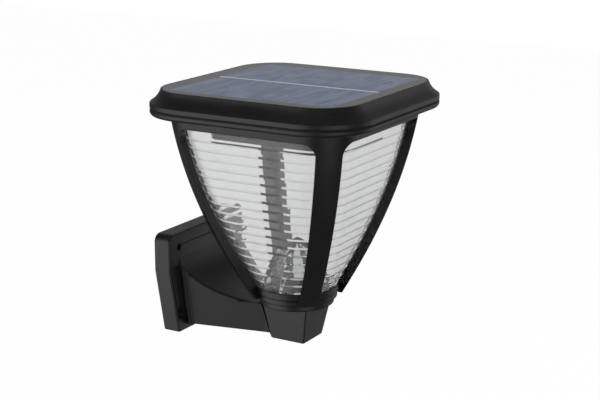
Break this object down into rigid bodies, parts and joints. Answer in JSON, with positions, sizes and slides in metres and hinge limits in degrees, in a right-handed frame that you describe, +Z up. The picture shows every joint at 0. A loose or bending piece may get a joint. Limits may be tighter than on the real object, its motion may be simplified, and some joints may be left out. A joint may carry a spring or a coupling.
{
  "type": "solar wall lantern",
  "caption": "Solar wall lantern with a flared cap and panel, a clear stepped lens in a tapering ribbed cage, and a curved bracket arm on a wall plate.",
  "frame": {"origin": "centre of the wall plate's back face, on the wall", "axes": "+Z up, +Y into the wall, +X to the right when facing the wall"},
  "size_m": [0.17, 0.177, 0.1882],
  "materials": {
    "black_plastic": "satin moulded black",
    "clear_plastic": "clear moulded",
    "panel_glass": "clear cover",
    "panel_board": "dark grey laminate",
    "solar_cells": "dark blue silicon",
    "bus_ribbon": "tinned ribbon",
    "gasket_rubber": "black seal",
    "button_rubber": "soft black",
    "screw_steel": "stainless",
    "contact_steel": "nickel plated",
    "light_board": "white solder mask",
    "light_diodes": "yellow phosphor",
    "drive_board": "green solder mask",
    "board_parts": "moulded packages",
    "battery_wrap": "blue shrink sleeve",
    "inner_plastic": "moulded black",
    "wire": "insulated wire"
  },
  "bodies": {
    "lantern": {"wall_plate": "black_plastic", "bracket_arm": "black_plastic", "base_cup": "black_plastic", "cage": "black_plastic", "cap_tray": "black_plastic", "cap_roof": "black_plastic", "lamp_housing": "black_plastic", "lens": "clear_plastic", "reflector_cone": "clear_plastic", "panel_glass": "panel_glass", "panel_board": "panel_board", "solar_cells": "solar_cells", "bus_ribbon": "bus_ribbon", "cap_gasket": "gasket_rubber", "lens_gasket": "gasket_rubber", "arm_screws": "screw_steel", "post_nut": "screw_steel", "post_bolt": "screw_steel", "base_screws": "screw_steel", "cage_screws": "screw_steel", "roof_screws": "screw_steel", "housing_screws": "screw_steel", "led_screws": "screw_steel", "board_screws": "screw_steel", "battery_contacts": "contact_steel", "led_board": "light_board", "leds": "light_diodes", "main_board": "drive_board", "board_parts": "board_parts", "battery_cell": "battery_wrap", "battery_holder": "inner_plastic", "power_switch": "inner_plastic", "panel_leads": "wire", "led_leads": "wire"},
    "button": {"power_button": "button_rubber", "switch_plunger": "inner_plastic"}
  },
  "joints": [
    {"name": "power_button_press", "type": "slide", "parent": "lantern", "child": "button", "axis": [0, 0, 1], "range_m": [0, 0.0012], "stiffness_N_per_m": 400}
  ]
}
